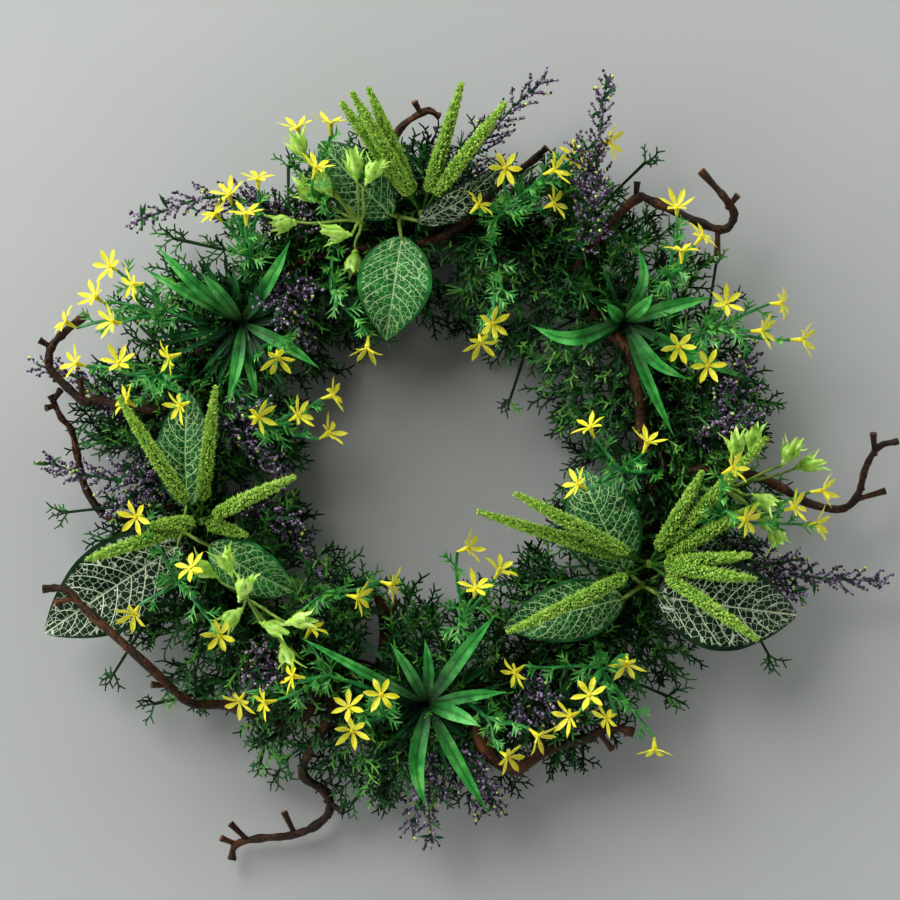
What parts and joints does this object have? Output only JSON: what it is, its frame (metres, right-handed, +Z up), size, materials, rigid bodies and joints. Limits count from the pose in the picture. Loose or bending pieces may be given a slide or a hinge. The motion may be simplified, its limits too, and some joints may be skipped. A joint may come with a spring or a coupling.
{
  "type": "mixed flower wreath",
  "caption": "Vine ring wreath dressed with forked greens, dark twigs, net-veined leaves, seed spikes, yellow star flowers and purple bead sprays, lying flat.",
  "frame": {"origin": "centre of the wreath's box, on the surface it lies on", "axes": "+Z up out of the face of the wreath, +X to its right and +Y to its top as hung"},
  "size_m": [0.6558, 0.5974, 0.1221],
  "materials": {
    "vine": "dry bark",
    "twig": "satin bark",
    "leaf": "satin, dark green with a pale net of veins",
    "spike": "granular, lime green",
    "strap": "semi-gloss mid green",
    "bud": "soft sheen, pale lime",
    "star": "satin yellow petals on green stems",
    "lavender": "small violet beads on dark green twigs",
    "fern": "semi-gloss dark green"
  },
  "bodies": {
    "root": {"vine_ring": "vine", "branch_top": "twig", "branch_right": "twig", "branch_left_up": "twig", "branch_left_low": "twig", "branch_left_mid": "twig", "branch_top_right": "twig", "branch_bottom_left": "twig", "branch_right_inner": "twig", "branch_upper_right": "twig", "branch_bottom_right": "twig", "leaf_plant_top": "leaf", "leaf_plant_left": "leaf", "leaf_plant_right": "leaf", "spike_cluster_top": "spike", "spike_cluster_left": "spike", "spike_cluster_right": "spike", "strap_tuft_left": "strap", "strap_tuft_right": "strap", "strap_tuft_bottom": "strap", "bud_spray_top": "bud", "bud_spray_right": "bud", "bud_spray_lower_left": "bud", "star_spray_top": "star", "star_spray_left": "star", "star_spray_right": "star", "star_spray_upper": "star", "star_spray_left_low": "star", "star_spray_top_left": "star", "star_spray_far_right": "star", "star_spray_inner_low": "star", "star_spray_left_high": "star", "star_spray_inner_left": "star", "star_spray_bottom_left": "star", "star_spray_inner_right": "star", "star_spray_bottom_right": "star", "star_spray_inner_bottom": "star", "lavender_spray_left": "lavender", "lavender_spray_right": "lavender", "lavender_spray_upper": "lavender", "lavender_spray_bottom": "lavender", "lavender_spray_left_up": "lavender", "lavender_spray_top_left": "lavender", "lavender_spray_far_right": "lavender", "lavender_spray_inner_low": "lavender", "lavender_spray_inner_left": "lavender", "lavender_spray_bottom_left": "lavender", "lavender_spray_upper_right": "lavender", "lavender_spray_bottom_right": "lavender", "lavender_spray_inner_top_left": "lavender", "fern_1": "fern", "fern_2": "fern", "fern_3": "fern", "fern_4": "fern", "fern_5": "fern", "fern_6": "fern", "fern_7": "fern", "fern_8": "fern", "fern_9": "fern", "fern_10": "fern"}
  },
  "joints": []
}
